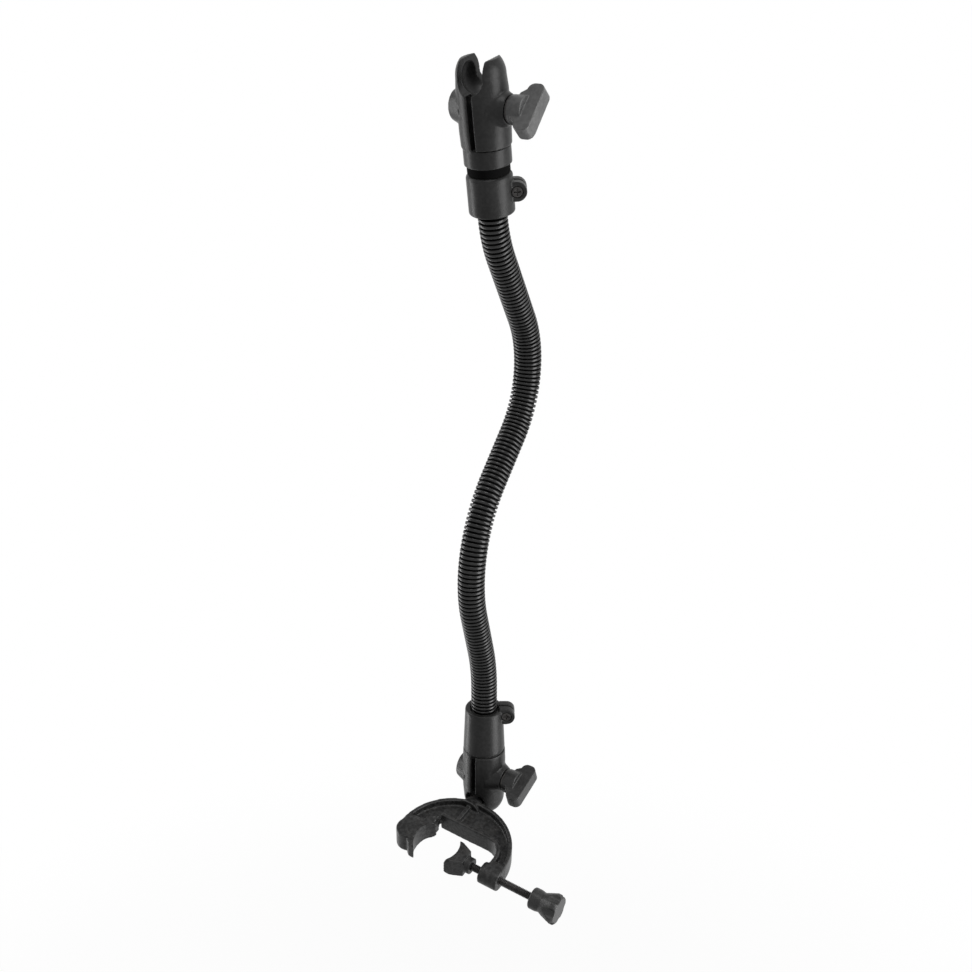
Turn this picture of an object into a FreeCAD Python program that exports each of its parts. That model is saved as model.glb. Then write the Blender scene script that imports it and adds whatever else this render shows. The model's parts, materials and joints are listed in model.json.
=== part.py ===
import FreeCAD, Part
import math
import os
import Sketcher
from FreeCAD import Placement, Rotation, Vector

# Driving dimensions in millimetres and degrees. A socket arm is drawn along its own Z,
# from the ball's centre towards the rod, with its bolt along X. The clamp is drawn with
# the clamped rod along Z at the origin, its screw along X and its post along Y.
sizes = {
    # Fits
    "runClear": 0.1,
    "bodyGap": 0.3,
    "sunk": 0.4,
    # Ball and its post
    "ballRadius": 12.7,
    "postRadius": 6.4,
    "postFlare": 4.2,
    "postFlareLength": 7,
    "postIntoBall": 7,
    "ballHeight": 73,
    "postRise": 7,
    "clampRoll": 5.5,
    # Clamp frame
    "frameRadius": 48.5,
    "frameCentreX": 11.3,
    "frameCentreY": 5.5,
    "frameWidth": 16.5,
    "webThickness": 5.5,
    "flange": 3.2,
    "spineInner": 25.7,
    "armInner": 46.5,
    "armCorner": 14,
    "ribWidth": 3.6,
    "ribX": 1,
    "bossRadius": 8.7,
    "bossLength": 17,
    # Fixed jaw and swivel pad
    "seatRadius": 19.05,
    "gapLeft": 13,
    "armDrop": 2,
    "lugRadius": 10.5,
    "lugX": -27.5,
    "lugY": 0.5,
    "jawWidth": 17.5,
    "jawBack": 8,
    "clawRadius": 16,
    "clawX": -10,
    "clawWidth": 15.5,
    "clawTaper": 17,
    "toothReach": 13.4,
    "padReach": 12.6,
    "padTipX": 15.2,
    "padBackX": 29,
    "padTaper": 13.6,
    "padWidth": 17,
    "hubRadius": 6.6,
    "hubEnd": 34,
    # Clamp screw and knob
    "screwRadius": 3.175,
    "screwStart": 25.5,
    "ringX": 29.5,
    "ringWidth": 1.2,
    "ringDepth": 0.8,
    "ringProud": 1.1,
    "knobX": 89,
    "knobLength": 24.5,
    "knobNeck": 8.6,
    "knobWaist": 7.9,
    "knobEnd": 12.4,
    "knobBore": 17,
    "knobNeckLength": 6.2,
    "knobWaistAt": 9.4,
    "knobFlareAt": 19.6,
    "knobNeckEdge": 1,
    "knobRim": 1.8,
    "fluteRadius": 5,
    "fluteReach": 14.6,
    "fluteStart": 7.8,
    "fluteCount": 6,
    # Socket arm
    "armTip": 11.5,
    "armTipRadius": 13.2,
    "armBallRadius": 17,
    "armWaistRadius": 17.8,
    "armFootRadius": 17.4,
    "ledge": 46.4,
    "boltHeight": 21,
    "slotWidth": 4,
    "notchRadius": 9.4,
    "armBoss": 10,
    "armBossReach": 21,
    "armBossBack": 21.5,
    "armBossBase": 15,
    "armBossTail": 10.6,
    "armShoulder": 9,
    "armTipRound": 18,
    "hollowRelief": 1.3,
    "armTaper": 10,
    "boltRadius": 3.175,
    "boltHole": 4.6,
    "boltHead": 6.35,
    "boltHeadHeight": 4.4,
    "boltEnd": 38,
    "springRadius": 5.6,
    "springWire": 1,
    "springTurns": 3,
    "springPocket": 7.3,
    "springPocketDepth": 5,
    # Washer and wing knob
    "washerRadius": 9.2,
    "washerThickness": 1.5,
    "wingHub": 10,
    "wingHubLength": 10.5,
    "wingLength": 20,
    "wingSpan": 36,
    "wingThickness": 11,
    "wingRound": 5,
    "wingFlare": 4,
    "wingStart": 7.5,
    "insertRadius": 4.6,
    "insertLength": 11,
    "upperWingTurn": -52,
    "lowerWingTurn": -71,
    # Neck, sleeve and collar
    "ringRadius": 16.6,
    "lowerRingEnd": 47.4,
    "upperRingEnd": 59,
    "grooveLength": 6.5,
    "neckRadius": 15,
    "stemRadius": 10.8,
    "stemGrip": 13,
    "sleeveLength": 39,
    "sleeveRimRadius": 15.6,
    "sleeveFootRadius": 17.2,
    "collarLength": 28.5,
    "collarRadius": 16.3,
    "collarShoulder": 3,
    "earReach": 18.2,
    "earRadius": 7,
    "earWidth": 14,
    "earAngle": 32,
    "earFromRim": 5.6,
    "earFromGroove": 13.5,
    "slitWidth": 1.6,
    "pinchRadius": 2,
    "pinchHead": 3.8,
    "pinchHeadHeight": 3,
    "pinchRecess": 4.2,
    "crossSpan": 5,
    "crossWidth": 0.9,
    "crossDepth": 1.8,
    # Bendable rod and corrugated tube, in the plane of the arm's slot
    "rodRadius": 6.35,
    "rodInStem": 10,
    "tubeRidge": 10.65,
    "tubeRoot": 8.9,
    "tubeBore": 6.6,
    "tubePitch": 3.4,
    "tubeInSleeve": 11,
    "columnHeight": 481.6,
    "bendOneShare": 0.27762,
    "bendTwoY": -31.6,
    "bendTwoShare": 0.52035,
    "bendThreeY": 82,
    "bendThreeShare": 0.75623,
    "bendFourY": 14,
    "bendOneRadius": 150,
    "bendTwoRadius": 110,
    "bendThreeRadius": 75,
    "bendFourRadius": 100,
    "topLean": 9,
    "topRun": 20.8,
}

doc = FreeCAD.newDocument("RodClampMount")
sheet = doc.addObject("Spreadsheet::Sheet", "Sizes")
for row, (alias, number) in enumerate(sizes.items(), start=1):
    sheet.set("A%d" % row, alias)
    sheet.set("B%d" % row, str(number))
    sheet.setAlias("B%d" % row, alias)
doc.recompute()


class Size:
    # A number together with the sheet formula that it comes from
    def __init__(self, value, formula):
        self.value = value
        self.formula = formula

    def join(self, other, sign, value):
        return Size(value, "(%s %s %s)" % (self.formula, sign, other.formula))

    def __add__(self, other):
        other = asSize(other)
        return self.join(other, "+", self.value + other.value)

    def __sub__(self, other):
        other = asSize(other)
        return self.join(other, "-", self.value - other.value)

    def __mul__(self, other):
        other = asSize(other)
        return self.join(other, "*", self.value * other.value)

    def __truediv__(self, other):
        other = asSize(other)
        return self.join(other, "/", self.value / other.value)

    def __neg__(self):
        return Size(-self.value, "(0 - %s)" % self.formula)

    def __radd__(self, other):
        return asSize(other) + self

    def __rsub__(self, other):
        return asSize(other) - self

    def __rmul__(self, other):
        return asSize(other) * self


def asSize(value):
    if isinstance(value, Size):
        return value
    return Size(float(value), "(%r)" % float(value))


def size(alias):
    return Size(float(sheet.get(alias)), "Sizes.%s" % alias)


def value(alias):
    return float(sheet.get(alias))


turns = {
    "X": Rotation(Vector(0, 1, 0), 90),
    "Y": Rotation(Vector(1, 0, 0), -90),
    "Z": Rotation(),
}


def put(item, at, rotation):
    item.Placement = Placement(Vector(*[asSize(c).value for c in at]), rotation)
    for letter, place in zip("xyz", at):
        item.setExpression("Placement.Base." + letter, asSize(place).formula)
    return item


def primitive(kind, name, at, rotation, **bound):
    item = doc.addObject("Part::" + kind, name)
    for key, amount in bound.items():
        item.setExpression(key, asSize(amount).formula)
    return put(item, at, rotation)


def rod(name, radius, length, at, along="Z"):
    return primitive("Cylinder", name, at, turns[along], Radius=radius, Height=length)


def cone(name, start, end, length, at, along="Z"):
    return primitive("Cone", name, at, turns[along], Radius1=start, Radius2=end, Height=length)


def ball(name, radius, at):
    return primitive("Sphere", name, at, Rotation(), Radius=radius)


def box(name, at, length, width, height):
    return primitive("Box", name, at, Rotation(), Length=length, Width=width, Height=height)


def hexagon(name, radius, length, at, along="Z"):
    return primitive("Prism", name, at, turns[along], Circumradius=radius, Height=length)


def fuse(name, *items):
    joined = doc.addObject("Part::MultiFuse", name)
    joined.Shapes = list(items)
    joined.Refine = True
    return joined


def common(name, *items):
    shared = doc.addObject("Part::MultiCommon", name)
    shared.Shapes = list(items)
    return shared


def cut(name, base, *tools):
    taken = doc.addObject("Part::Cut", name)
    taken.Base = base
    taken.Tool = tools[0] if len(tools) == 1 else fuse(name + "Tools", *tools)
    taken.Refine = True
    return taken


def originPlane(body, role):
    return [item for item in body.Origin.OriginFeatures if item.Role == role][0]


def outline(body, name, role, corners):
    # Corners are (across, along) or (across, along, radius): a radius makes the edge that
    # leaves the corner an arc, and its sign gives the side that the arc bulges to.
    sketch = body.newObject("Sketcher::SketchObject", name)
    sketch.AttachmentSupport = (originPlane(body, role), [""])
    sketch.MapMode = "FlatFace"
    points = [Vector(asSize(c[0]).value, asSize(c[1]).value, 0) for c in corners]
    ends = []
    for index, corner in enumerate(corners):
        start, end = points[index], points[(index + 1) % len(points)]
        if len(corner) == 2:
            ends.append((sketch.addGeometry(Part.LineSegment(start, end)), 1, 2))
            continue
        bulge = asSize(corner[2])
        chord = end - start
        across = Vector(chord.y, -chord.x, 0).normalize()
        sag = math.sqrt(bulge.value ** 2 - (chord.Length / 2) ** 2)
        side = math.copysign(1, bulge.value)
        centre = (start + end) / 2 - across * sag * side
        circle = Part.Circle(centre, Vector(0, 0, 1), abs(bulge.value))
        first, last = (start, end) if side > 0 else (end, start)
        angles = [math.atan2(p.y - centre.y, p.x - centre.x) for p in (first, last)]
        arc = sketch.addGeometry(Part.ArcOfCircle(circle, *angles))
        ends.append((arc, 1, 2) if side > 0 else (arc, 2, 1))
        limit = sketch.addConstraint(Sketcher.Constraint("Radius", arc, abs(bulge.value)))
        sketch.renameConstraint(limit, "radius%d" % index)
        sketch.setExpression("Constraints.radius%d" % index, (bulge * side).formula)
    for index, corner in enumerate(corners):
        edge, first, last = ends[index]
        follower, nextFirst, nextLast = ends[(index + 1) % len(ends)]
        sketch.addConstraint(Sketcher.Constraint("Coincident", edge, last, follower, nextFirst))
        for kind, place in zip(("DistanceX", "DistanceY"), corner):
            place = asSize(place)
            number = sketch.addConstraint(Sketcher.Constraint(kind, -1, 1, edge, first, place.value))
            label = "%s%d" % (kind, index)
            sketch.renameConstraint(number, label)
            sketch.setExpression("Constraints." + label, place.formula)
    return sketch


def turned(name, corners, role="XZ_Plane", axis="V_Axis"):
    body = doc.addObject("PartDesign::Body", name)
    sketch = outline(body, name + "Profile", role, corners)
    spun = body.newObject("PartDesign::Revolution", name + "Turned")
    spun.Profile = sketch
    spun.ReferenceAxis = (sketch, [axis])
    spun.Angle = 360
    body.Tip = spun
    return body


def plate(name, role, corners, thickness):
    body = doc.addObject("PartDesign::Body", name)
    sketch = outline(body, name + "Outline", role, corners)
    pad = body.newObject("PartDesign::Pad", name + "Pad")
    pad.Profile = sketch
    pad.setExpression("Length", asSize(thickness).formula)
    pad.Midplane = True
    body.Tip = pad
    return body


nodes = {}


def finish(label, item, place):
    doc.recompute()
    item.Label = label
    item.Placement = place * item.Placement
    nodes[label] = item


runClear = size("runClear")
bodyGap = size("bodyGap")
ballRadius = size("ballRadius")
screwRadius = size("screwRadius")
seatRadius = size("seatRadius")
boltRadius = size("boltRadius")
rodRadius = size("rodRadius")

# Places of the clamp and of both arms in the part's frame
rise = math.radians(value("postRise"))
post = Vector(0, math.cos(rise), math.sin(rise))
lowerBall = post * value("ballHeight")
clampPlace = Placement(Vector(), Rotation(Vector(1, 0, 0), value("postRise")))
clampPlace = clampPlace * Placement(Vector(), Rotation(Vector(0, 1, 0), value("clampRoll")))
lowerPlace = Placement(lowerBall, Rotation())


def routePoint(y, z):
    return Vector(0, lowerBall.y + y, z)


def clampFrame():
    radius, width, flange = size("frameRadius"), size("frameWidth"), size("flange")
    centreX, centreY = size("frameCentreX"), size("frameCentreY")
    inner, spine, corner = size("armInner"), size("spineInner"), size("armCorner")
    bossRadius, jawWidth = size("bossRadius"), size("jawWidth")

    def opening(name, left, grow, low, height):
        # The gap between the arms, with a round upper corner beside the screw's boss
        edge, top, bend = inner + grow, spine + grow, corner + grow
        side = edge - (inner - corner)
        long = box(name + "Long", (left, -radius, low), inner - corner - left, radius + top, height)
        short = box(name + "Short", (inner - corner, -radius, low), side, radius + spine - corner, height)
        round_ = rod(name + "Round", bend, height, (inner - corner, spine - corner, low))
        return fuse(name, long, short, round_)

    disc = rod("frameDisc", radius, width, (centreX, centreY, -width / 2))
    gap = opening("frameGap", -size("gapLeft"), asSize(0), -width, width * 2)
    below = box("frameBelow", (-radius, -radius * 2, -width),
                radius * 3, radius * 2 - size("armDrop"), width * 2)
    profile = cut("frameProfile", disc, gap, below)
    recesses = []
    web = size("webThickness")
    for side, low in (("Front", web / 2), ("Back", -web / 2 - width)):
        pocketDisc = rod("recessDisc" + side, radius - flange, width, (centreX, centreY, low))
        keepOut = opening("recessGap" + side, -size("gapLeft"), flange, low, width)
        jawSide = rod("recessJaw" + side, seatRadius + size("jawBack"), width, (0, 0, low))
        lugSide = rod("recessLug" + side, size("lugRadius") + flange, width,
                      (size("lugX"), size("lugY"), low))
        lowSide = box("recessLow" + side, (-radius, -radius * 2, low), radius, radius * 2, width)
        bossSide = box("recessBoss" + side, (seatRadius, -radius * 2, low),
                       radius * 2, radius * 2 + bossRadius, width)
        recesses.append(cut("recess" + side, pocketDisc, keepOut, jawSide, lugSide, lowSide, bossSide))
    casting = cut("frameSection", profile, *recesses)
    ribWidth = size("ribWidth")
    rib = box("frameRib", (size("ribX") - ribWidth / 2, spine + flange / 2, (flange - width) / 2),
              ribWidth, radius + centreY - spine - flange, width - flange)
    lug = rod("jawLug", size("lugRadius"), jawWidth, (size("lugX"), size("lugY"), -jawWidth / 2))
    clawWidth, clawRadius = size("clawWidth"), size("clawRadius")
    crescent = rod("clawCrescent", clawRadius, clawWidth, (size("clawX"), 0, -clawWidth / 2))
    taper = rod("clawTaperRound", size("clawTaper"), radius, (-radius, 0, 0), "X")
    claw = common("jawClaw", crescent, taper)
    boss = rod("screwBoss", bossRadius, size("bossLength"), (inner - flange, 0, 0), "X")
    top = radius + centreY - flange
    stem = rod("ballPost", size("postRadius"), size("ballHeight") + size("postIntoBall") - ballRadius - top,
               (0, top, 0), "Y")
    foot = cone("ballPostFoot", size("postRadius") + size("postFlare"), size("postRadius"),
                size("postFlareLength") + flange, (0, top - flange, 0), "Y")
    solid = fuse("frameSolid", casting, rib, lug, claw, boss, stem, foot)
    seat = rod("jawSeat", seatRadius, jawWidth * 2, (0, 0, -jawWidth))
    blunt = box("toothBlunt", (-radius, -radius, -jawWidth),
                radius, radius - size("toothReach"), jawWidth * 2)
    hole = rod("screwHole", screwRadius + runClear, radius, (inner - radius / 2, 0, 0), "X")
    finish("yoke_frame", cut("yokeFrame", solid, seat, blunt, hole), clampPlace)

    sphere = ball("ballSphere", ballRadius, (0, size("ballHeight"), 0))
    socket = rod("ballBore", size("postRadius"), ballRadius * 2,
                 (0, size("ballHeight") + size("postIntoBall") - ballRadius * 3, 0), "Y")
    finish("rubber_ball", cut("rubberBall", sphere, socket), clampPlace)


def clampScrew():
    padWidth, hubRadius, hubEnd = size("padWidth"), size("hubRadius"), size("hubEnd")
    start, knobX = size("screwStart"), size("knobX")
    ringX, ringWidth = size("ringX"), size("ringWidth")
    ringInner, ringOuter = screwRadius - size("ringDepth"), screwRadius + size("ringProud")
    reach, tipX, backX = size("padReach"), size("padTipX"), size("padBackX")
    wedge = plate("padWedge", "XY_Plane", [
        (asSize(0), -reach),
        (tipX, -reach),
        (backX, -hubRadius),
        (backX, hubRadius),
        (tipX, reach),
        (asSize(0), reach),
    ], padWidth)
    back = common("padBack", wedge, rod("padTaperRound", size("padTaper"), hubEnd, (asSize(0), 0, 0), "X"))
    hub = rod("padHub", hubRadius, hubEnd - seatRadius, (seatRadius, 0, 0), "X")
    seat = rod("padSeat", seatRadius, padWidth * 2, (0, 0, -padWidth))
    tip = rod("padTipHole", screwRadius + runClear, hubEnd, (start - bodyGap, 0, 0), "X")
    keep = rod("padRingRoom", ringOuter + runClear, ringWidth + runClear * 2, (ringX - runClear, 0, 0), "X")
    finish("swivel_pad", cut("swivelPad", fuse("padSolid", back, hub), seat, tip, keep), clampPlace)

    shaft = rod("screwShaft", screwRadius, knobX + size("knobBore") - start, (start, 0, 0), "X")
    groove = cut("screwGroove", rod("grooveOuter", screwRadius * 2, ringWidth, (ringX, 0, 0), "X"),
                 rod("grooveInner", ringInner, ringWidth, (ringX, 0, 0), "X"))
    finish("clamp_screw", cut("clampScrew", shaft, groove), clampPlace)
    finish("retaining_ring", cut("retainingRing", rod("ringDisc", ringOuter, ringWidth, (ringX, 0, 0), "X"),
                                 rod("ringHole", ringInner, ringWidth, (ringX, 0, 0), "X")), clampPlace)

    neck, waist, end = size("knobNeck"), size("knobWaist"), size("knobEnd")
    knobEnd, edge, rim = knobX + size("knobLength"), size("knobNeckEdge"), size("knobRim")
    grip = turned("knobGrip", [
        (knobX, 0),
        (knobX, neck - edge),
        (knobX + edge, neck),
        (knobX + size("knobNeckLength"), neck),
        (knobX + size("knobWaistAt"), waist),
        (knobX + size("knobFlareAt"), end),
        (knobEnd - rim, end),
        (knobEnd, end - rim),
        (knobEnd, 0),
    ], "XY_Plane", "H_Axis")
    flutes = []
    count = int(value("fluteCount"))
    reach = size("fluteReach")
    for index in range(count):
        angle = math.radians(360 / count * (index + 0.5))
        place = (knobX + size("fluteStart"), reach * math.cos(angle), reach * math.sin(angle))
        flutes.append(rod("flute%d" % index, size("fluteRadius"), size("knobLength"), place, "X"))
    bore = rod("knobBoreHole", screwRadius, size("knobBore"), (knobX, 0, 0), "X")
    finish("clamp_knob", cut("clampKnob", grip, bore, *flutes), clampPlace)


def ear(name, centreZ, angle, headSide):
    # A pinch ear: a round lug on the ring, slit along the ring, with a screw and nut across it
    reach, radius, width = size("earReach"), size("earRadius"), size("earWidth")
    inner = size("stemRadius") + size("collarShoulder") / 2
    headHeight, recess, slit = size("pinchHeadHeight"), size("pinchRecess"), size("slitWidth")
    sunk, headRadius, pinchRadius = size("sunk"), size("pinchHead"), size("pinchRadius")
    turn = Placement(Vector(), Rotation(Vector(0, 0, 1), angle))
    if headSide < 0:
        turn = turn * Placement(Vector(0, 0, 2 * centreZ.value), Rotation(Vector(1, 0, 0), 180))
    lug = rod(name + "Lug", radius, width, (reach, -width / 2, centreZ), "Y")
    web = box(name + "Web", (inner, -width / 2, centreZ - radius), reach - inner, width, radius * 2)
    solid = fuse(name + "Ear", lug, web)
    cuts = fuse(
        name + "EarCuts",
        box(name + "Slit", (0, -slit / 2, 0), reach * 2, slit, centreZ * 2),
        rod(name + "HeadRecess", recess, width, (reach, width / 2 - headHeight, centreZ), "Y"),
        hexagon(name + "NutRecess", recess, width, (reach, headHeight - width / 2 - width, centreZ), "Y"),
        rod(name + "ScrewHole", pinchRadius + runClear, width * 2, (reach, -width, centreZ), "Y"),
    )
    solid.Placement = turn
    cuts.Placement = turn

    low = sunk - width / 2
    shank = rod(name + "Shank", pinchRadius, width - headHeight - sunk, (reach, low, centreZ), "Y")
    head = rod(name + "Head", headRadius, headHeight - sunk, (reach, width / 2 - headHeight, centreZ), "Y")
    span, blade, deep = size("crossSpan"), size("crossWidth"), width / 2 - sunk - size("crossDepth")
    cross = [
        box(name + "CrossA", (reach - span / 2, deep, centreZ - blade / 2), span, width, blade),
        box(name + "CrossB", (reach - blade / 2, deep, centreZ - span / 2), blade, width, span),
    ]
    screw = cut(name + "Screw", fuse(name + "ScrewSolid", shank, head), *cross)
    nutSolid = hexagon(name + "NutSolid", recess - runClear, headHeight - sunk, (reach, low, centreZ), "Y")
    nutHole = rod(name + "NutHole", pinchRadius, width, (reach, -width, centreZ), "Y")
    return solid, cuts, turn, screw, cut(name + "Nut", nutSolid, nutHole)


def armSolids():
    # The arm's whole outline, before it is split along the slot into its two halves
    tip, ledge, bolt = size("armTip"), size("ledge"), size("boltHeight")
    ballOuter, waist, reach = size("armBallRadius"), size("armWaistRadius"), size("armBossReach")
    slot, pocket, depth = size("slotWidth"), size("springPocket"), size("springPocketDepth")
    shoulder, bossBase, back = size("armShoulder"), size("armBossBase"), size("armBossBack")
    shell = turned("armShell", [
        (0, -tip),
        (size("armTipRadius"), -tip, size("armTipRound")),
        (ballOuter, asSize(0)),
        (waist, shoulder),
        (waist, ledge - size("armTaper")),
        (size("armFootRadius"), ledge),
        (0, ledge),
    ])
    front = cone("armBossFront", bossBase, size("armBoss"), reach / 2, (reach / 2, 0, bolt), "X")
    tail = cone("armBossTailCone", size("armBossTail"), bossBase, back - reach / 2, (-back, 0, bolt), "X")
    hollow = ball("armHollow", ballRadius + bodyGap, (0, 0, 0))
    relief = ball("armHollowRelief", ballRadius + bodyGap, (0, 0, size("hollowRelief")))
    notch = size("notchRadius")
    swing = rod("armSwing", notch, ballOuter * 4, (0, -ballOuter * 2, 0), "Y")
    mouth = box("armMouth", (-notch, -ballOuter * 2, -tip * 2), notch * 2, ballOuter * 4, tip * 2)
    pocketHole = rod("armSpringPocket", pocket, slot + depth * 2, (-slot / 2 - depth, 0, bolt), "X")
    whole = cut("armWhole", fuse("armOuter", shell, front, tail), hollow, relief, swing, mouth, pocketHole)
    far = ballOuter * 4
    rightSide = box("armRightSide", (-slot / 2, -far / 2, -far), far, far, far + ledge)
    movingSide = box("armMovingSide", (slot / 2, -far / 2, -far), far, far, far + ledge - bodyGap)
    return whole, rightSide, movingSide


def socketArm(side, place, ringEnd, groove, wingTurn, solids):
    whole, rightSide, movingSide = solids
    ledge, bolt, reach, back = size("ledge"), size("boltHeight"), size("armBossReach"), size("armBossBack")
    slot, depth = size("slotWidth"), size("springPocketDepth")
    headHeight = size("boltHeadHeight")
    stemRadius, inStem = size("stemRadius"), size("rodInStem")
    stemEnd = ringEnd + groove + size("stemGrip")
    ring = rod(side + "Ring", size("ringRadius"), ringEnd - ledge, (0, 0, ledge))
    stem = rod(side + "Stem", stemRadius, stemEnd - ringEnd, (0, 0, ringEnd))
    rodHole = rod(side + "RodHole", rodRadius + runClear, inStem * 2, (0, 0, stemEnd - inStem - bodyGap))
    boltHole = rod(side + "BoltHole", boltRadius + runClear, back + reach, (-back, 0, bolt), "X")
    headRoom = hexagon(side + "HeadRoom", size("boltHead") + runClear, back,
                       (headHeight + size("sunk") - back * 2, 0, bolt), "X")
    half = cut(side + "HalfShape", whole, rightSide)
    parts = [half, ring, stem]
    if groove.value > 0:
        parts.append(rod(side + "NeckBand", size("neckRadius"), groove - runClear, (0, 0, ringEnd)))
    fixed = fuse(side + "FixedSolid", *parts)
    finish(side + "_socket_arm", cut(side + "Arm", fixed, rodHole, boltHole, headRoom), place)

    wide = rod(side + "WideHole", size("boltHole"), reach * 2, (0, 0, bolt), "X")
    moving = common(side + "MovingSide", whole, movingSide)
    finish(side + "_moving_half", cut(side + "Moving", moving, wide), place)

    head = hexagon(side + "BoltHead", size("boltHead"), headHeight, (size("sunk") - back, 0, bolt), "X")
    shankStart = headHeight + size("sunk") - back
    shank = rod(side + "BoltShank", boltRadius, size("boltEnd") - shankStart, (shankStart, 0, bolt), "X")
    finish(side + "_arm_bolt", fuse(side + "Bolt", head, shank), place)

    washerX = reach + bodyGap
    thickness = size("washerThickness")
    disc = rod(side + "WasherDisc", size("washerRadius"), thickness, (washerX, 0, bolt), "X")
    hole = rod(side + "WasherHole", boltRadius + bodyGap, thickness, (washerX, 0, bolt), "X")
    finish(side + "_washer", cut(side + "Washer", disc, hole), place)

    hubX = washerX + thickness + runClear
    length, span, hubRadius = size("wingLength"), size("wingSpan") / 2, size("wingHub")
    insert, insertLength = size("insertRadius"), size("insertLength")
    round_, wingX, end = size("wingRound"), hubX + size("wingStart"), hubX + length
    wing = plate(side + "Wing", "XZ_Plane", [
        (wingX - size("wingFlare"), -hubRadius),
        (wingX, round_ - span, round_),
        (wingX + round_, -span),
        (end - round_, -span, round_),
        (end, round_ - span),
        (end, span - round_, round_),
        (end - round_, span),
        (wingX + round_, span, round_),
        (wingX, span - round_),
        (wingX - size("wingFlare"), hubRadius),
    ], size("wingThickness"))
    hub = rod(side + "WingHub", hubRadius, size("wingHubLength"), (hubX, 0, 0), "X")
    room = rod(side + "InsertRoom", insert, insertLength, (hubX, 0, 0), "X")
    boltLength = size("boltEnd") - hubX + bodyGap
    boltRoom = rod(side + "BoltRoom", boltRadius + bodyGap, boltLength, (hubX, 0, 0), "X")
    turn = Placement(Vector(0, 0, bolt.value), Rotation(Vector(1, 0, 0), wingTurn))
    knob = fuse(side + "KnobSolid", wing, hub)
    finish(side + "_wing_knob", cut(side + "Knob", knob, room, boltRoom), place * turn)
    bush = rod(side + "InsertBush", insert, insertLength, (hubX, 0, 0), "X")
    bushHole = rod(side + "InsertHole", boltRadius + runClear, insertLength, (hubX, 0, 0), "X")
    finish(side + "_knob_insert", cut(side + "Insert", bush, bushHole), place * turn)

    wire, radius = value("springWire"), value("springRadius")
    room = slot.value + 2 * depth.value - 2 * wire
    helix = Part.makeHelix(room / value("springTurns"), room, radius)
    signs = ((-1, -1), (1, -1), (1, 1), (-1, 1))
    corners = [Vector(radius + wire / 2 * a, 0, wire / 2 * b) for a, b in signs]
    section = Part.makePolygon(corners + corners[:1])
    coil = doc.addObject("Part::Feature", side + "Coil")
    coil.Shape = Part.Wire(helix.Edges).makePipeShell([section], True, True)
    coil.Placement = Placement(Vector(-room / 2, 0, bolt.value), turns["X"])
    finish(side + "_spring", coil, place)


def ringBody(name, foot, rim, low, high, lowRound, highRound):
    # A ring round the stem and the tube's end, with rounded edges at both ends
    bore = size("stemRadius") + bodyGap / 2
    return turned(name, [
        (bore, low),
        (foot - lowRound, low, lowRound),
        (foot, low + lowRound),
        (rim, high - highRound, highRound),
        (rim - highRound, high),
        (bore + highRound / 2, high),
        (bore, high - highRound / 2),
    ])


def grip(side, part, place, low, length, foot, rim, rounds, earZ, headSide):
    high = low + length
    body = ringBody(side + "GripRing", foot, rim, low, high, *rounds)
    angle = -headSide * value("earAngle")
    lug, cuts, turn, screw, nut = ear(side, earZ, angle, headSide)
    bore = rod(side + "GripBore", size("stemRadius") + bodyGap / 2, length * 2, (0, 0, low - length / 2))
    finish(part, cut(side + "Grip", fuse(side + "GripSolid", body, lug), bore, cuts), place)
    finish(side + "_pinch_screw", screw, place * turn)
    finish(side + "_pinch_nut", nut, place * turn)


def bentRoute(points, radii):
    # Straight runs joined by tangent arcs
    edges = []
    start = points[0]
    for before, corner, after, radius in zip(points, points[1:], points[2:], radii):
        back = (before - corner).normalize()
        ahead = (after - corner).normalize()
        half = back.getAngle(ahead) / 2
        reach = radius / math.tan(half)
        middle = (back + ahead).normalize() * (radius / math.sin(half) - radius)
        edges.append(Part.LineSegment(start, corner + back * reach).toShape())
        edges.append(Part.Arc(corner + back * reach, corner + middle, corner + ahead * reach).toShape())
        start = corner + ahead * reach
    edges.append(Part.LineSegment(start, points[-1]).toShape())
    return edges


def pipe(edges, radius):
    first = edges[0]
    ring = Part.makeCircle(radius, first.valueAt(first.FirstParameter), first.tangentAt(first.FirstParameter))
    return Part.Wire(edges).makePipeShell([Part.Wire(ring)], True, True)


def stationsAlong(edges, count):
    total = sum(edge.Length for edge in edges)
    for index in range(count + 1):
        left = total * index / count
        edge = edges[0]
        for edge in edges:
            if left <= edge.Length + 1e-6:
                break
            left -= edge.Length
        parameter = edge.getParameterByLength(min(left, edge.Length))
        yield edge.valueAt(parameter), edge.tangentAt(parameter)


def bendableMiddle(corners, lowerRod, upperRod, lowerTube, upperTube):
    radii = [value("bend%sRadius" % word) for word in ("One", "Two", "Three", "Four")]
    core = doc.addObject("Part::Feature", "FlexRod")
    core.Shape = pipe(bentRoute([lowerRod] + corners + [upperRod], radii), rodRadius.value)
    finish("bendable_rod", core, Placement())

    route = bentRoute([lowerTube] + corners + [upperTube], radii)
    ridges = round(sum(edge.Length for edge in route) / value("tubePitch"))
    rings = []
    for index, (centre, ahead) in enumerate(stationsAlong(route, 2 * ridges)):
        radius = value("tubeRidge") if index % 2 else value("tubeRoot")
        rings.append(Part.Wire(Part.makeCircle(radius, centre, ahead)))
    tube = doc.addObject("Part::Feature", "CorrugatedTube")
    tube.Shape = Part.makeLoft(rings, True, True).cut(pipe(route, value("tubeBore")))
    finish("corrugated_tube", tube, Placement())


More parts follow.
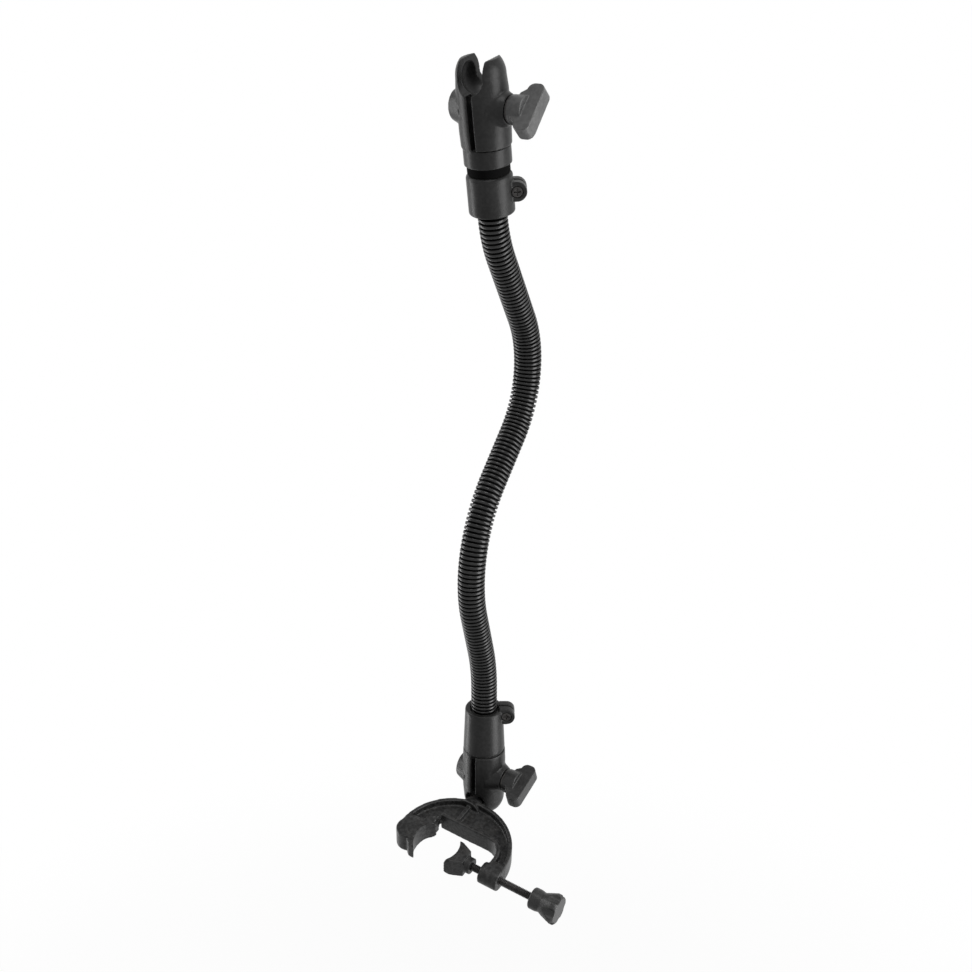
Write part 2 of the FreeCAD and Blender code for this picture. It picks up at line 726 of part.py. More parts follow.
def arms():
    lean = math.radians(value("topLean"))
    upward = Vector(0, -math.sin(lean), math.cos(lean))
    height = value("columnHeight")
    corners = [
        routePoint(0, height * value("bendOneShare")),
        routePoint(value("bendTwoY"), height * value("bendTwoShare")),
        routePoint(value("bendThreeY"), height * value("bendThreeShare")),
        routePoint(value("bendFourY"), height),
    ]
    lowerRing, upperRing = size("lowerRingEnd"), size("upperRingEnd")
    groove = size("grooveLength")
    sleeve, collar = size("sleeveLength"), size("collarLength")
    collarLow = upperRing + groove
    tubeExit = corners[-1] + upward * value("topRun")
    upperBall = tubeExit + upward * (collarLow + collar).value
    upperPlace = Placement(upperBall, Rotation(Vector(1, 0, 0), 180 + value("topLean")))

    solids = armSolids()
    socketArm("lower", lowerPlace, lowerRing, asSize(0), value("lowerWingTurn"), solids)
    socketArm("upper", upperPlace, upperRing, groove, value("upperWingTurn"), solids)
    shoulder = size("collarShoulder")
    grip("lower", "lower_sleeve", lowerPlace, lowerRing, sleeve,
         size("sleeveFootRadius"), size("sleeveRimRadius"),
         (shoulder / 3, shoulder / 2), lowerRing + sleeve - size("earFromRim"), -1)
    grip("upper", "upper_collar", upperPlace, collarLow, collar, size("collarRadius"), size("collarRadius"),
         (shoulder, shoulder / 2), collarLow + size("earFromGroove"), 1)

    stemGrip, inStem, inSleeve = value("stemGrip"), value("rodInStem"), value("tubeInSleeve")
    lowerStem = lowerRing.value + stemGrip
    upperStem = collarLow.value + stemGrip
    bendableMiddle(
        corners,
        lowerBall + Vector(0, 0, lowerStem - inStem),
        upperBall - upward * (upperStem - inStem),
        lowerBall + Vector(0, 0, (lowerRing + sleeve).value - inSleeve),
        tubeExit + upward * inSleeve,
    )


clampFrame()
clampScrew()
arms()
doc.recompute()
for item in doc.Objects:
    if "Invalid" in item.State or "Error" in item.State:
        raise RuntimeError("%s did not build" % item.Label)
for label, item in nodes.items():
    if item.Shape.isNull() or not item.Shape.isValid() or item.Shape.Volume <= 0:
        raise RuntimeError("%s has no valid solid" % label)
os.makedirs("parts", exist_ok=True)
for label, item in nodes.items():
    item.Shape.exportStep("parts/%s.step" % label)
    print("%-18s %8.0f mm3, %d solid" % (label, item.Shape.Volume, len(item.Shape.Solids)))
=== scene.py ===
import json
import math

import bmesh
import bpy
from mathutils import Matrix, Vector


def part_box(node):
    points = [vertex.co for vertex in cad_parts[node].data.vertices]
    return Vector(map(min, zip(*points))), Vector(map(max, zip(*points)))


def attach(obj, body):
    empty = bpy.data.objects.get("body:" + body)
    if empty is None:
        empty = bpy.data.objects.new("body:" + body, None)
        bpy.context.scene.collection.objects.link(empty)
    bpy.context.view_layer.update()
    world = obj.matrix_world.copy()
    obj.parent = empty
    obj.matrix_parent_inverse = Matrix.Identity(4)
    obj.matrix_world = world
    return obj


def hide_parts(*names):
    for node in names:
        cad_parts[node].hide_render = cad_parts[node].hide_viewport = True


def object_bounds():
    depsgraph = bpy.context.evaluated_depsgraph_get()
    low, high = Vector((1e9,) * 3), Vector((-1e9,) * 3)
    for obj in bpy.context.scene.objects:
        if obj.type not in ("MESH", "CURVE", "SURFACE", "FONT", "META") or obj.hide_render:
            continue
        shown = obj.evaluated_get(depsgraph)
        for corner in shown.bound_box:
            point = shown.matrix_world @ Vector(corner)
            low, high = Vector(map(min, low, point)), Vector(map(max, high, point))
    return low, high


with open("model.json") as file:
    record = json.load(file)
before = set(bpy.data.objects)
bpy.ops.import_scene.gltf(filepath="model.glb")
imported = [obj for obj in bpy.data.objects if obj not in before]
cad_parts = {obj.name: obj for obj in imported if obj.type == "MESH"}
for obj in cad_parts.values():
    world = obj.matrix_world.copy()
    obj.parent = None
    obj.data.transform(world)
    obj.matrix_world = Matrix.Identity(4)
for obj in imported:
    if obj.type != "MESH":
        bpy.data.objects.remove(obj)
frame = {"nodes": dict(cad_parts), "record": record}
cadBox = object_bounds()
nodes = frame["nodes"]
record = frame["record"]
bodyNames = {node: body for body, members in record["behaviour"]["bodies"].items() for node in members}
print("frame loaded,", len(nodes), "solids")


class Wire:
    # one output socket, so that shader maths reads as plain sums
    def __init__(self, graph, socket):
        self.graph = graph
        self.socket = socket

    def maths(self, operation, first, second):
        return self.graph.add("ShaderNodeMath", {"operation": operation}, {0: first, 1: second})

    def __add__(self, other):
        return self.maths("ADD", self, other)

    def __radd__(self, other):
        return self.maths("ADD", other, self)

    def __sub__(self, other):
        return self.maths("SUBTRACT", self, other)

    def __rsub__(self, other):
        return self.maths("SUBTRACT", other, self)

    def __mul__(self, other):
        return self.maths("MULTIPLY", self, other)

    def __rmul__(self, other):
        return self.maths("MULTIPLY", other, self)

    def within(self, low, high):
        # 0 at low, 1 at high, smooth between
        settings = {"interpolation_type": "SMOOTHSTEP", "clamp": True}
        inputs = {"Value": self, "From Min": low, "From Max": high}
        return self.graph.add("ShaderNodeMapRange", settings, inputs)


class Graph:
    # the node tree of one material or world
    def __init__(self, owner):
        self.owner = owner
        owner.use_nodes = True
        self.tree = owner.node_tree
        self.tree.nodes.clear()

    def add(self, kind, settings, inputs, output=0):
        node = self.tree.nodes.new(kind)
        for name, setting in settings.items():
            setattr(node, name, setting)
        for name, given in inputs.items():
            if isinstance(given, Wire):
                self.tree.links.new(given.socket, node.inputs[name])
            else:
                node.inputs[name].default_value = given
        return Wire(self, node.outputs[output]) if node.outputs else None

    def place(self):
        return self.add("ShaderNodeTexCoord", {}, {}, output="Object")

    def noise(self, place, scale, detail=3.0, roughness=0.5, distortion=0.0):
        inputs = {"Vector": place, "Scale": scale, "Detail": detail}
        inputs.update({"Roughness": roughness, "Distortion": distortion})
        return self.add("ShaderNodeTexNoise", {}, inputs)

    def mixColours(self, amount, first, second):
        # a Mix node's colour sockets are 6 and 7, and its colour output is 2
        return self.add("ShaderNodeMix", {"data_type": "RGBA"}, {0: amount, 6: first, 7: second}, output=2)

    def ray(self, kind):
        return self.add("ShaderNodeLightPath", {}, {}, output=kind)

    def shown(self):
        # 1 for what the camera sees, straight or in a reflection or through glass
        seen = self.ray("Is Camera Ray") + self.ray("Is Glossy Ray") + self.ray("Is Transmission Ray")
        return seen.within(0.0, 1.0)

    def done(self, shader, kind="ShaderNodeOutputMaterial"):
        self.add(kind, {}, {"Surface": shader})
        return self.owner


def rgba(grey, warm=0.0):
    return (grey * (1 + warm), grey, grey * (1 - warm), 1.0)


# Black finishes: fine grain in the surface, mottled tone, rubbed patches, lighter edges that are edge wear
# and painted edge highlight, dust on what faces up, painted shade in the tube's grooves and the upper arm's
# neck
blackFinishes = {
    "cast_black": {
        "tone": 0.006, "cloud": 0.034, "mottle": 0.75, "rough": 0.36, "roughVary": 0.20, "specular": 0.20,
        "grain": 900, "grainDepth": 0.00022, "peel": 380, "peelDepth": 0.00045,
        "rub": 60, "rubTone": 0.045, "edge": 0.60, "edgeTone": 0.10, "dust": 0.10},
    "moulded_black": {
        "tone": 0.008, "cloud": 0.020, "mottle": 0.45, "rough": 0.34, "roughVary": 0.16, "specular": 0.18,
        "grain": 2600, "grainDepth": 0.00006, "peel": 420, "peelDepth": 0.00010,
        "rub": 85, "rubTone": 0.036, "edge": 0.35, "edgeTone": 0.060, "dust": 0.06},
    "knob_black": {
        "tone": 0.015, "cloud": 0.030, "mottle": 0.45, "rough": 0.36, "roughVary": 0.16, "specular": 0.28,
        "grain": 2200, "grainDepth": 0.00007, "peel": 380, "peelDepth": 0.00010,
        "rub": 120, "rubTone": 0.05, "edge": 0.40, "edgeTone": 0.080, "dust": 0.06},
    "tube_black": {
        "tone": 0.004, "cloud": 0.010, "mottle": 0.2, "rough": 0.24, "roughVary": 0.08, "specular": 0.34,
        "grain": 900, "grainDepth": 0.000004, "peel": 160, "peelDepth": 0.000012,
        # the groove range: ridge heights where painted shade darkens the tube's grooves
        "rub": 90, "rubTone": 0.020, "groove": (0.55, 0.96), "dust": 0.04},
    "black_rubber": {
        "tone": 0.012, "cloud": 0.022, "mottle": 0.4, "rough": 0.72, "roughVary": 0.12, "specular": 0.16,
        "grain": 2400, "grainDepth": 0.00008, "peel": 300, "peelDepth": 0.00008,
        "rub": 70, "rubTone": 0.036, "dust": 0.10},
}

# the recessed neck, in metres below the device's ball along the upper arm; painted shade darkens it
neckShadeBand = {"start": 0.0590, "end": 0.0653, "soft": 0.0003}
blackFinishes["neck_shaded_black"] = dict(blackFinishes["moulded_black"], neck=neckShadeBand)
# the upper wing knob is paler than the other knobs
palerKnobTones = {"tone": 0.060, "cloud": 0.105, "rubTone": 0.12, "edgeTone": 0.2}
blackFinishes["paler_knob"] = dict(blackFinishes["knob_black"], **palerKnobTones)

# What all black finishes share: a scale is times the finish's rub, a range runs from none to full
blackShared = {
    "cloudScale": 0.45, "dustScale": 2.2,
    "cloudRange": (0.32, 0.70), "peelRange": (0.36, 0.66), "rubRange": (0.58, 0.74),
    "dustRange": (0.42, 0.72), "upRange": (0.35, 1.0), "edgeRange": (0.515, 0.575), "edgeCloud": (0.25, 0.6),
    "rubShare": 0.55, "rubRough": 0.08, "dustRough": 0.12, "dustColour": rgba(0.20, 0.06), "bump": 0.55,
    # painted shade: a dull near-black finish laid into the tube's grooves and the upper arm's neck
    "paintedShadeColour": rgba(0.003), "paintedShadeRough": 0.8, "paintedShadeSpecular": 0.03,
}


# where painted shade darkens the upper arm's recessed neck
def neckShadeMask(graph, place, neck):
    ball = next(mount for mount in record["mounts"] if mount["name"] == "device_ball")
    downArm = -Vector(ball["axis"])
    inputs = {0: place, 1: downArm}
    along = graph.add("ShaderNodeVectorMath", {"operation": "DOT_PRODUCT"}, inputs, output="Value")
    ballAt = downArm.dot(Vector(ball["pos_m"]))
    low = ballAt + neck["start"]
    high = ballAt + neck["end"]
    return along.within(low, low + neck["soft"]) * (1 - along.within(high, high + neck["soft"]))


def grooveShadeMask(graph, groove):
    # the tube's mesh carries how far each point stands from groove to ridge; painted shade darkens the
    # grooves
    ridge = graph.add("ShaderNodeAttribute", {"attribute_name": "ridge"}, {}, output="Fac")
    return 1 - ridge.within(*groove)


def blackFinish(name, finish, shared):
    graph = Graph(bpy.data.materials.new(name))
    place = graph.place()
    grain = graph.noise(place, finish["grain"], detail=2.0)
    peel = graph.noise(place, finish["peel"], detail=3.0)
    cloud = graph.noise(place, finish["rub"] * shared["cloudScale"], detail=4.0, roughness=0.6)
    scuffs = graph.noise(place, finish["rub"], detail=8.0, roughness=0.68, distortion=0.6)
    rub = scuffs.within(*shared["rubRange"])
    normalAt = graph.add("ShaderNodeTexCoord", {}, {}, output="Normal")
    facing = graph.add("ShaderNodeSeparateXYZ", {}, {0: normalAt}, output="Z")
    specks = graph.noise(place, finish["rub"] * shared["dustScale"], detail=6.0, roughness=0.7)
    dust = facing.within(*shared["upRange"]) * specks.within(*shared["dustRange"])
    clouds = cloud.within(*shared["cloudRange"])
    pits = peel.within(*shared["peelRange"])
    mottle = clouds * (1 - finish["mottle"]) + pits * finish["mottle"]
    base = graph.mixColours(mottle, rgba(finish["tone"]), rgba(finish["cloud"]))
    base = graph.mixColours(rub * shared["rubShare"], base, rgba(finish["rubTone"]))
    base = graph.mixColours(dust * finish["dust"], base, shared["dustColour"])
    # convex edges are lightened: edge wear, and also a painted edge highlight
    if "edge" in finish:
        edges = graph.add("ShaderNodeNewGeometry", {}, {}, output="Pointiness")
        wornAndLitEdge = edges.within(*shared["edgeRange"]) * cloud.within(*shared["edgeCloud"])
        base = graph.mixColours(wornAndLitEdge * finish["edge"], base, rgba(finish["edgeTone"]))
    rough = finish["rough"] + (cloud - 0.5) * finish["roughVary"]
    rough = rough + rub * shared["rubRough"] + dust * shared["dustRough"]
    height = grain * (finish["grainDepth"] / finish["peelDepth"]) + peel
    normal = graph.add("ShaderNodeBump", {}, {
        "Strength": shared["bump"], "Distance": finish["peelDepth"], "Height": height})
    shader = graph.add("ShaderNodeBsdfPrincipled", {}, {
        "Base Color": base, "Roughness": rough, "Normal": normal, "Specular IOR Level": finish["specular"]})
    # painted shade: the tube's grooves and the upper arm's neck take a dull near-black shader
    paintedShade = None
    if "neck" in finish:
        paintedShade = neckShadeMask(graph, place, finish["neck"])
    if "groove" in finish:
        paintedShade = grooveShadeMask(graph, finish["groove"])
    if paintedShade:
        dull = graph.add("ShaderNodeBsdfPrincipled", {}, {
            "Base Color": shared["paintedShadeColour"], "Roughness": shared["paintedShadeRough"],
            "Specular IOR Level": shared["paintedShadeSpecular"]})
        shader = graph.add("ShaderNodeMixShader", {}, {0: paintedShade, 1: shader, 2: dull})
    return graph.done(shader)


# Bare and plated metals: fine drawn or turned lines along one axis, dull patches
metalFinishes = {
    "black_steel": {"tone": (0.045, 0.043, 0.042, 1.0), "dull": (0.02, 0.02, 0.02, 1.0), "rough": 0.38,
                    "metal": 0.85, "stretch": (60, 900, 900)},
    "zinc_steel": {"tone": (0.55, 0.55, 0.54, 1.0), "dull": (0.38, 0.38, 0.37, 1.0), "rough": 0.30,
                   "metal": 1.0, "stretch": (1200, 160, 160)},
    "brass": {"tone": (0.72, 0.52, 0.22, 1.0), "dull": (0.46, 0.30, 0.12, 1.0), "rough": 0.32,
              "metal": 1.0, "stretch": (1400, 160, 160)},
    "rod_metal": {"tone": (0.66, 0.66, 0.67, 1.0), "dull": (0.45, 0.45, 0.46, 1.0), "rough": 0.36,
                  "metal": 1.0, "stretch": (700, 700, 30)},
}
metalShared = {
    "patch": 130, "patchRange": (0.45, 0.72), "patchShare": 0.7, "patchRough": 0.15,
    "lineRough": 0.18, "lineBump": 0.35, "lineDepth": 0.00004,
}


def metalFinish(name, finish, shared):
    graph = Graph(bpy.data.materials.new(name))
    place = graph.place()
    drawn = graph.add("ShaderNodeMapping", {}, {"Vector": place, "Scale": finish["stretch"]})
    lines = graph.noise(drawn, 1.0, detail=3.0)
    patch = graph.noise(place, shared["patch"], detail=5.0, roughness=0.62).within(*shared["patchRange"])
    base = graph.mixColours(patch * shared["patchShare"], finish["tone"], finish["dull"])
    rough = finish["rough"] + (lines - 0.5) * shared["lineRough"] + patch * shared["patchRough"]
    normal = graph.add("ShaderNodeBump", {}, {
        "Strength": shared["lineBump"], "Distance": shared["lineDepth"], "Height": lines})
    shader = graph.add("ShaderNodeBsdfPrincipled", {}, {
        "Base Color": base, "Roughness": rough, "Normal": normal, "Metallic": finish["metal"]})
    return graph.done(shader)


materials = {name: blackFinish(name, finish, blackShared) for name, finish in blackFinishes.items()}
materials.update({name: metalFinish(name, finish, metalShared) for name, finish in metalFinishes.items()})
print("finishes made,", len(materials))


def meshData(name, mesh):
    data = bpy.data.meshes.new(name)
    mesh.to_mesh(data)
    mesh.free()
    return data


def newObject(name, data):
    made = bpy.data.objects.new(name, data)
    bpy.context.scene.collection.objects.link(made)
    return made


def addPiece(name, mesh, slot, body, replaced, flatAngle=38, finish=None):
    data = meshData(name, mesh)
    data.shade_smooth()
    data.set_sharp_from_angle(angle=math.radians(flatAngle))
    data.materials.append(materials[finish or slot])
    piece = newObject(name, data)
    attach(piece, body)
    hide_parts(*replaced)
    return piece


def mergedCopy(node, gap=1e-6):
    mesh = bmesh.new()
    mesh.from_mesh(nodes[node].data)
    bmesh.ops.remove_doubles(mesh, verts=mesh.verts, dist=gap)
    return mesh


# Cast and moulded pieces: the solid is remeshed finely and eased, so every edge takes a small radius
eased = {
    "yoke_frame": {"slot": "cast_black", "voxel": 0.00058, "rounds": 5},
    "swivel_pad": {"slot": "cast_black", "voxel": 0.0004, "rounds": 4},
    "clamp_knob": {"slot": "knob_black", "voxel": 0.0004, "rounds": 4},
    "lower_sleeve": {"slot": "moulded_black", "voxel": 0.00047, "rounds": 3},
    "upper_collar": {"slot": "moulded_black", "voxel": 0.00047, "rounds": 3},
    "lower_socket_arm": {"slot": "moulded_black", "voxel": 0.00050, "rounds": 4},
    "lower_moving_half": {"slot": "moulded_black", "voxel": 0.00050, "rounds": 4},
    # the upper arm takes painted shade in its recessed neck
    "upper_socket_arm": {"slot": "moulded_black", "voxel": 0.00050, "rounds": 4, "finish": "neck_shaded_black"},
    "upper_moving_half": {"slot": "moulded_black", "voxel": 0.00050, "rounds": 4},
    "lower_wing_knob": {"slot": "knob_black", "voxel": 0.00036, "rounds": 4},
    "upper_wing_knob": {"slot": "knob_black", "voxel": 0.00036, "rounds": 4, "finish": "paler_knob"},
}
noSharpEdge = 180  # degrees, as addPiece takes it


def easedMesh(node, voxel, rounds):
    data = meshData(node + "_fine", mergedCopy(node))
    holder = newObject(node + "_fine", data)
    remesh = holder.modifiers.new("fine", "REMESH")
    remesh.mode = "VOXEL"
    remesh.voxel_size = voxel
    fine = holder.evaluated_get(bpy.context.evaluated_depsgraph_get()).to_mesh()
    mesh = bmesh.new()
    mesh.from_mesh(fine)
    bpy.data.objects.remove(holder)
    bpy.data.meshes.remove(data)
    for _ in range(rounds):
        bmesh.ops.smooth_vert(mesh, verts=mesh.verts, factor=0.5,
                              use_axis_x=True, use_axis_y=True, use_axis_z=True)
    return mesh


for node, setup in eased.items():
    mesh = easedMesh(node, setup["voxel"], setup["rounds"])
    addPiece(node + "_eased", mesh, setup["slot"], bodyNames[node], [node], noSharpEdge, setup.get("finish"))
    print(node, "eased")

# Turned and small pieces: the solid's own edges get a narrow bevel
bevelled = {
    "retaining_ring": {"slot": "zinc_steel", "width": 0.00012},
    "lower_arm_bolt": {"slot": "zinc_steel", "width": 0.0004},
    "upper_arm_bolt": {"slot": "zinc_steel", "width": 0.0004},
    "lower_washer": {"slot": "black_steel", "width": 0.0002},
    "upper_washer": {"slot": "black_steel", "width": 0.0002},
    "lower_pinch_screw": {"slot": "black_steel", "width": 0.00025},
    "upper_pinch_screw": {"slot": "black_steel", "width": 0.00025},
    "lower_pinch_nut": {"slot": "zinc_steel", "width": 0.0002},
    "upper_pinch_nut": {"slot": "zinc_steel", "width": 0.0002},
    "lower_knob_insert": {"slot": "brass", "width": 0.0002},
    "upper_knob_insert": {"slot": "brass", "width": 0.0002},
}
sharpEdge = math.radians(40)
flatEdge = math.radians(0.5)


def bevelledMesh(node, width):
    mesh = mergedCopy(node)
    bmesh.ops.dissolve_limit(mesh, angle_limit=flatEdge, verts=mesh.verts, edges=mesh.edges)
    edges = [edge for edge in mesh.edges if edge.is_manifold and edge.calc_face_angle() > sharpEdge]
    bmesh.ops.bevel(mesh, geom=edges, offset=width, offset_type="OFFSET", segments=2, profile=0.5,
                    affect="EDGES", clamp_overlap=True, material=-1)
    return mesh


for node, setup in bevelled.items():
    addPiece(node + "_bevelled", bevelledMesh(node, setup["width"]), setup["slot"], bodyNames[node], [node])
print("small pieces bevelled,", len(bevelled))

# These keep the solid's own mesh
plain = {
    "rubber_ball": "black_rubber",
    "bendable_rod": "rod_metal",
    "lower_spring": "zinc_steel",
    "upper_spring": "zinc_steel",
}
for node, slot in plain.items():
    data = nodes[node].data
    data.materials.clear()
    data.materials.append(materials[slot])
    data.shade_smooth()
print("own meshes finished,", len(plain))

# The tube follows the same bends as the rod inside it; the route is (y, z) in the plane x = 0
tube = {
    "route": [(0.072456, 0.084297), (0.072456, 0.1337), (0.040856, 0.2506), (0.154456, 0.3642),
              (0.086456, 0.4816), (0.081481, 0.513009)],
    "radii": [0.150, 0.110, 0.075, 0.100],
    "pitch": 0.0034, "ridge": 0.01065, "root": 0.0089, "bore": 0.0066, "boreStep": 0.006,
    "facets": 38, "flatAngle": 60,
    # place in one pitch, and how far from root to ridge
    "profile": [(0.0, 0.0), (0.14, 0.03), (0.18, 0.55), (0.22, 0.86), (0.31, 0.97), (0.50, 1.0), (0.69, 0.97),
                (0.78, 0.86), (0.82, 0.55), (0.86, 0.03)],
}


def bentRoute(points, radii, slack=1e-9):
    # straight runs and tangent arcs, as a function from distance to place and heading
    runs = []
    start = points[0]
    for before, corner, after, radius in zip(points, points[1:], points[2:], radii):
        back = (before - corner).normalized()
        ahead = (after - corner).normalized()
        half = back.angle(ahead) / 2
        reach = radius / math.tan(half)
        arcStart = corner + back * reach
        centre = corner + (back + ahead).normalized() * (radius / math.sin(half))
        axis = back.cross(ahead).normalized() * -1
        turn = math.pi - 2 * half
        runs.append(("line", start, arcStart, (arcStart - start).length))
        runs.append(("arc", arcStart, (centre, axis, turn), radius * turn))
        start = corner + ahead * reach
    runs.append(("line", start, points[-1], (points[-1] - start).length))
    total = sum(length for _, _, _, length in runs)

    def at(distance):
        left = min(max(distance, 0.0), total)
        for kind, first, second, length in runs:
            if left <= length + slack:
                break
            left -= length
        if kind == "line":
            heading = (second - first).normalized()
            return first + heading * left, heading
        centre, axis, turn = second
        spun = Matrix.Rotation(turn * left / length, 3, axis) @ (first - centre)
        return centre + spun, axis.cross(spun).normalized()

    return at, total


def ringMatrix(place, heading, radius):
    side = Vector((1, 0, 0))
    turn = Matrix((side, heading.cross(side), heading)).transposed().to_4x4()
    return Matrix.Translation(place) @ turn @ Matrix.Diagonal((radius, radius, 1, 1))


def tubeStations(sizes, total):
    # distance along, radius, and rise from groove to ridge: up the outside, then back down the bore
    count = round(total / sizes["pitch"])
    depth = sizes["ridge"] - sizes["root"]
    stations = []
    for ridge in range(count):
        for along, rise in sizes["profile"]:
            stations.append(((ridge + along) * total / count, sizes["root"] + depth * rise, rise))
    stations.append((total, sizes["root"], 0.0))
    steps = round(total / sizes["boreStep"])
    return stations + [(total * (1 - step / steps), sizes["bore"], 0.0) for step in range(steps + 1)]


def corrugatedTube(sizes):
    at, total = bentRoute([Vector((0, y, z)) for y, z in sizes["route"]], sizes["radii"])
    mesh = bmesh.new()
    ridgeLayer = mesh.verts.layers.float.new("ridge")
    bmesh.ops.create_circle(mesh, cap_ends=False, radius=1.0, segments=sizes["facets"])
    last = Matrix.Identity(4)
    firstLoop = list(mesh.edges)
    edges = firstLoop
    for index, (distance, radius, rise) in enumerate(tubeStations(sizes, total)):
        here = ringMatrix(*at(distance), radius)
        if index:
            made = bmesh.ops.extrude_edge_only(mesh, edges=edges)["geom"]
            edges = [item for item in made if isinstance(item, bmesh.types.BMEdge)]
            edges = [edge for edge in edges if all(vert in made for vert in edge.verts)]
        verts = list({vert for edge in edges for vert in edge.verts})
        bmesh.ops.transform(mesh, matrix=here @ last.inverted(), verts=verts)
        for vert in verts:
            vert[ridgeLayer] = rise
        last = here
    bmesh.ops.bridge_loops(mesh, edges=firstLoop + edges)
    bmesh.ops.recalc_face_normals(mesh, faces=mesh.faces)
    return mesh


tubePiece = addPiece("corrugated_tube_ridged", corrugatedTube(tube), "tube_black", "arm", ["corrugated_tube"],
                     tube["flatAngle"])
print("tube ridged,", len(tubePiece.data.polygons), "faces")

# Clamp screw: a cut thread on a plain core, along the clamp's own screw axis
screw = {
    "rise": 7.0, "roll": 5.5,  # how the clamp stands, in degrees
    "start": 0.0255, "end": 0.1055, "core": 0.00262, "facets": 32,
    "threadStart": 0.0335, "threadEnd": 0.0905, "crest": 0.003175, "root": 0.0026,
    "pitch": 0.00127, "steps": 20, "mergeGap": 2e-6,
    # place in one pitch, and how far from root to crest
    "profile": [(0.0, 0.0), (0.14, 0.0), (0.5, 1.0), (0.64, 1.0), (1.0, 0.0)],
}


def clampTurn(sizes):
    # the clamp's screw along local X, its post along local Y
    rise = Matrix.Rotation(math.radians(sizes["rise"]), 4, "X")
    return rise @ Matrix.Rotation(math.radians(sizes["roll"]), 4, "Y")


def threadedScrew(sizes):
    mesh = bmesh.new()
    middle = (sizes["start"] + sizes["end"]) / 2
    place = Matrix.Translation((middle, 0, 0)) @ Matrix.Rotation(math.pi / 2, 4, "Y")
    bmesh.ops.create_cone(mesh, cap_ends=True, segments=sizes["facets"], radius1=sizes["core"],
                          radius2=sizes["core"], depth=sizes["end"] - sizes["start"], matrix=place)
    verts = []
    for along, rise in sizes["profile"]:
        radius = sizes["root"] + (sizes["crest"] - sizes["root"]) * rise
        verts.append(mesh.verts.new((sizes["threadStart"] + along * sizes["pitch"], radius, 0)))
    edges = [mesh.edges.new(pair) for pair in zip(verts, verts[1:])]
    turns = round((sizes["threadEnd"] - sizes["threadStart"]) / sizes["pitch"])
    bmesh.ops.spin(mesh, geom=verts + edges, cent=(0, 0, 0), axis=(1, 0, 0),
                   dvec=(sizes["pitch"] / sizes["steps"], 0, 0), angle=2 * math.pi * turns,
                   steps=turns * sizes["steps"], use_merge=False)
    bmesh.ops.remove_doubles(mesh, verts=mesh.verts, dist=sizes["mergeGap"])
    bmesh.ops.holes_fill(mesh, edges=[edge for edge in mesh.edges if edge.is_boundary], sides=0)
    bmesh.ops.recalc_face_normals(mesh, faces=mesh.faces)
    bmesh.ops.transform(mesh, matrix=clampTurn(sizes), verts=mesh.verts)
    return mesh


addPiece("clamp_screw_threaded", threadedScrew(screw), "black_steel", "screw", ["clamp_screw"])
print("clamp screw threaded")

# Floor and background
studio = {
    "floorSize": 60.0, "floorTone": 0.86, "floorRough": 0.8, "floorRoom": 0.03,
    "floorGlow": 0.90, "glowNear": 0.3, "glowFar": 1.0, "worldLight": 0.20,
}


def floorPaint(setup, level):
    # white where it is seen, with some plain paint below the object, so that a shadow stays
    graph = Graph(bpy.data.materials.new("pale_floor"))
    inputs = {0: graph.place(), 1: (0, 0, level)}
    away = graph.add("ShaderNodeVectorMath", {"operation": "DISTANCE"}, inputs, output="Value")
    far = away.within(setup["glowNear"], setup["glowFar"])
    glowShare = setup["floorGlow"] + far * (1 - setup["floorGlow"])
    paint = graph.add("ShaderNodeBsdfPrincipled", {}, {
        "Base Color": rgba(setup["floorTone"]), "Roughness": setup["floorRough"]})
    glow = graph.add("ShaderNodeEmission", {}, {"Color": rgba(1.0), "Strength": 1.0})
    mixed = graph.add("ShaderNodeMixShader", {}, {0: graph.shown() * glowShare, 1: paint, 2: glow})
    return graph.done(mixed)


def paleFloor(setup, level):
    mesh = bmesh.new()
    bmesh.ops.create_grid(mesh, x_segments=1, y_segments=1, size=setup["floorSize"] / 2,
                          matrix=Matrix.Translation((0, 0, level)))
    data = meshData("floor", mesh)
    data.materials.append(floorPaint(setup, level))
    floor = newObject("floor", data)


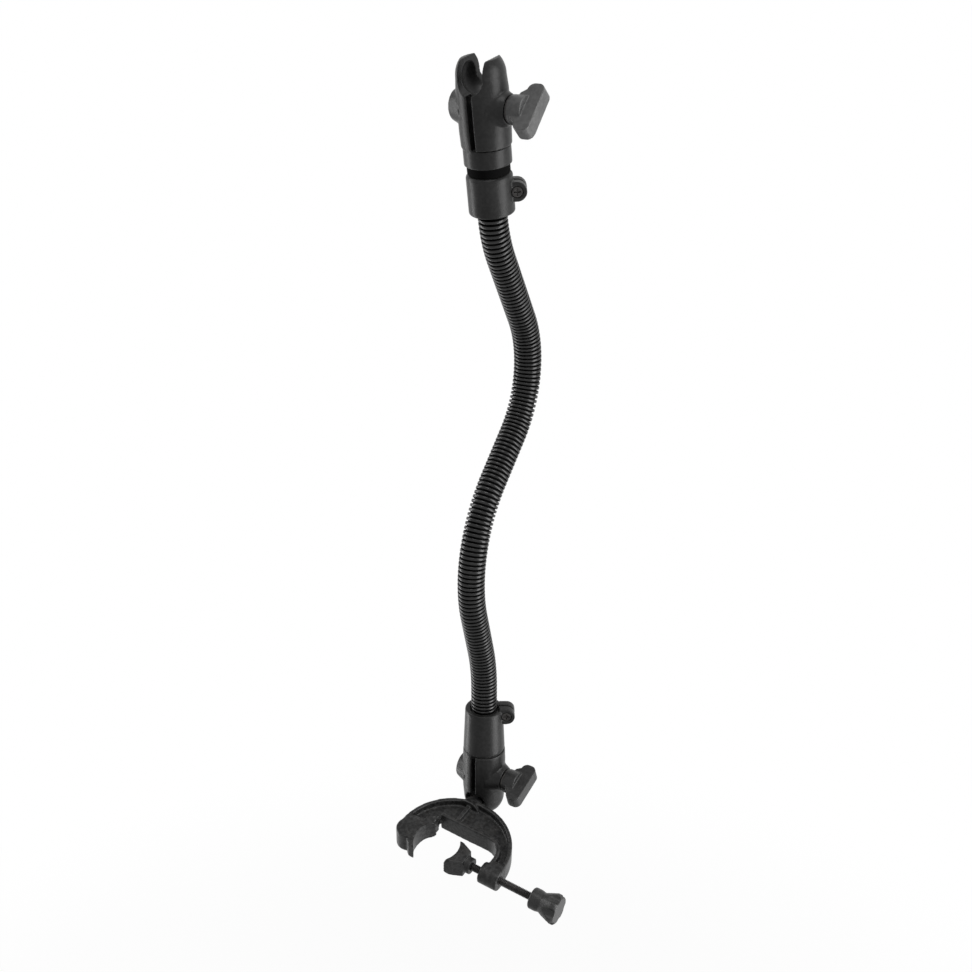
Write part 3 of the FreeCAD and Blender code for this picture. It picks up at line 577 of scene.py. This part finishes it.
def whiteWorld(setup):
    graph = Graph(bpy.data.worlds.new("studio"))
    soft = graph.add("ShaderNodeBackground", {}, {"Color": rgba(1.0), "Strength": setup["worldLight"]})
    white = graph.add("ShaderNodeBackground", {}, {"Color": rgba(1.0), "Strength": 1.0})
    mixed = graph.add("ShaderNodeMixShader", {}, {0: graph.shown(), 1: soft, 2: white})
    bpy.context.scene.world = graph.done(mixed, "ShaderNodeOutputWorld")


# clamped to a rod, the arm can also swing down, so the floor lies below its full reach
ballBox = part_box("rubber_ball")
ballLevel = (ballBox[0].z + ballBox[1].z) / 2
paleFloor(studio, 2 * ballLevel - cadBox[1].z - studio["floorRoom"])
whiteWorld(studio)

# Two tall strip lamps beside the object and a square one above it
lamps = {
    "right": {"from": (0.70, 0.17, 0.20), "to": (0, 0.07, 0.20), "size": (0.42, 1.45), "power": 11.0},
    "left": {"from": (-0.68, -0.10, 0.22), "to": (0, 0.07, 0.22), "size": (0.18, 1.45), "power": 5.0},
    "top": {"from": (0.10, -0.20, 1.5), "to": (0, 0.07, 0.40), "size": (0.5, 0.5), "power": 4.5},
}


def areaLamp(name, setup):
    data = bpy.data.lights.new(name, "AREA")
    data.shape = "RECTANGLE"
    data.size, data.size_y = setup["size"]
    data.energy = setup["power"]
    lamp = newObject(name, data)
    lamp.location = setup["from"]
    heading = Vector(setup["to"]) - Vector(setup["from"])
    lamp.rotation_euler = heading.to_track_quat("-Z", "Y").to_euler()


for name, setup in lamps.items():
    areaLamp(name, setup)

# The photograph's view: the focal length is measured in the image's own pixels
view = {
    "place": (0.4647, -0.6713, 0.7049), "pitch": 25.0, "azimuth": 32.0,
    "focalPixels": 1278, "imagePixels": 972, "sensor": 36, "shift": 0.002, "clipStart": 0.05,
}


def photoCamera(setup):
    data = bpy.data.cameras.new("camera")
    data.sensor_width = setup["sensor"]
    data.lens = setup["focalPixels"] / setup["imagePixels"] * setup["sensor"]
    data.shift_x = setup["shift"]
    data.clip_start = setup["clipStart"]
    camera = newObject("camera", data)
    camera.location = setup["place"]
    camera.rotation_euler = (math.radians(90 - setup["pitch"]), 0, math.radians(setup["azimuth"]))
    bpy.context.scene.camera = camera


photoCamera(view)
bpy.context.scene.view_settings.view_transform = "Standard"
print("studio ready")
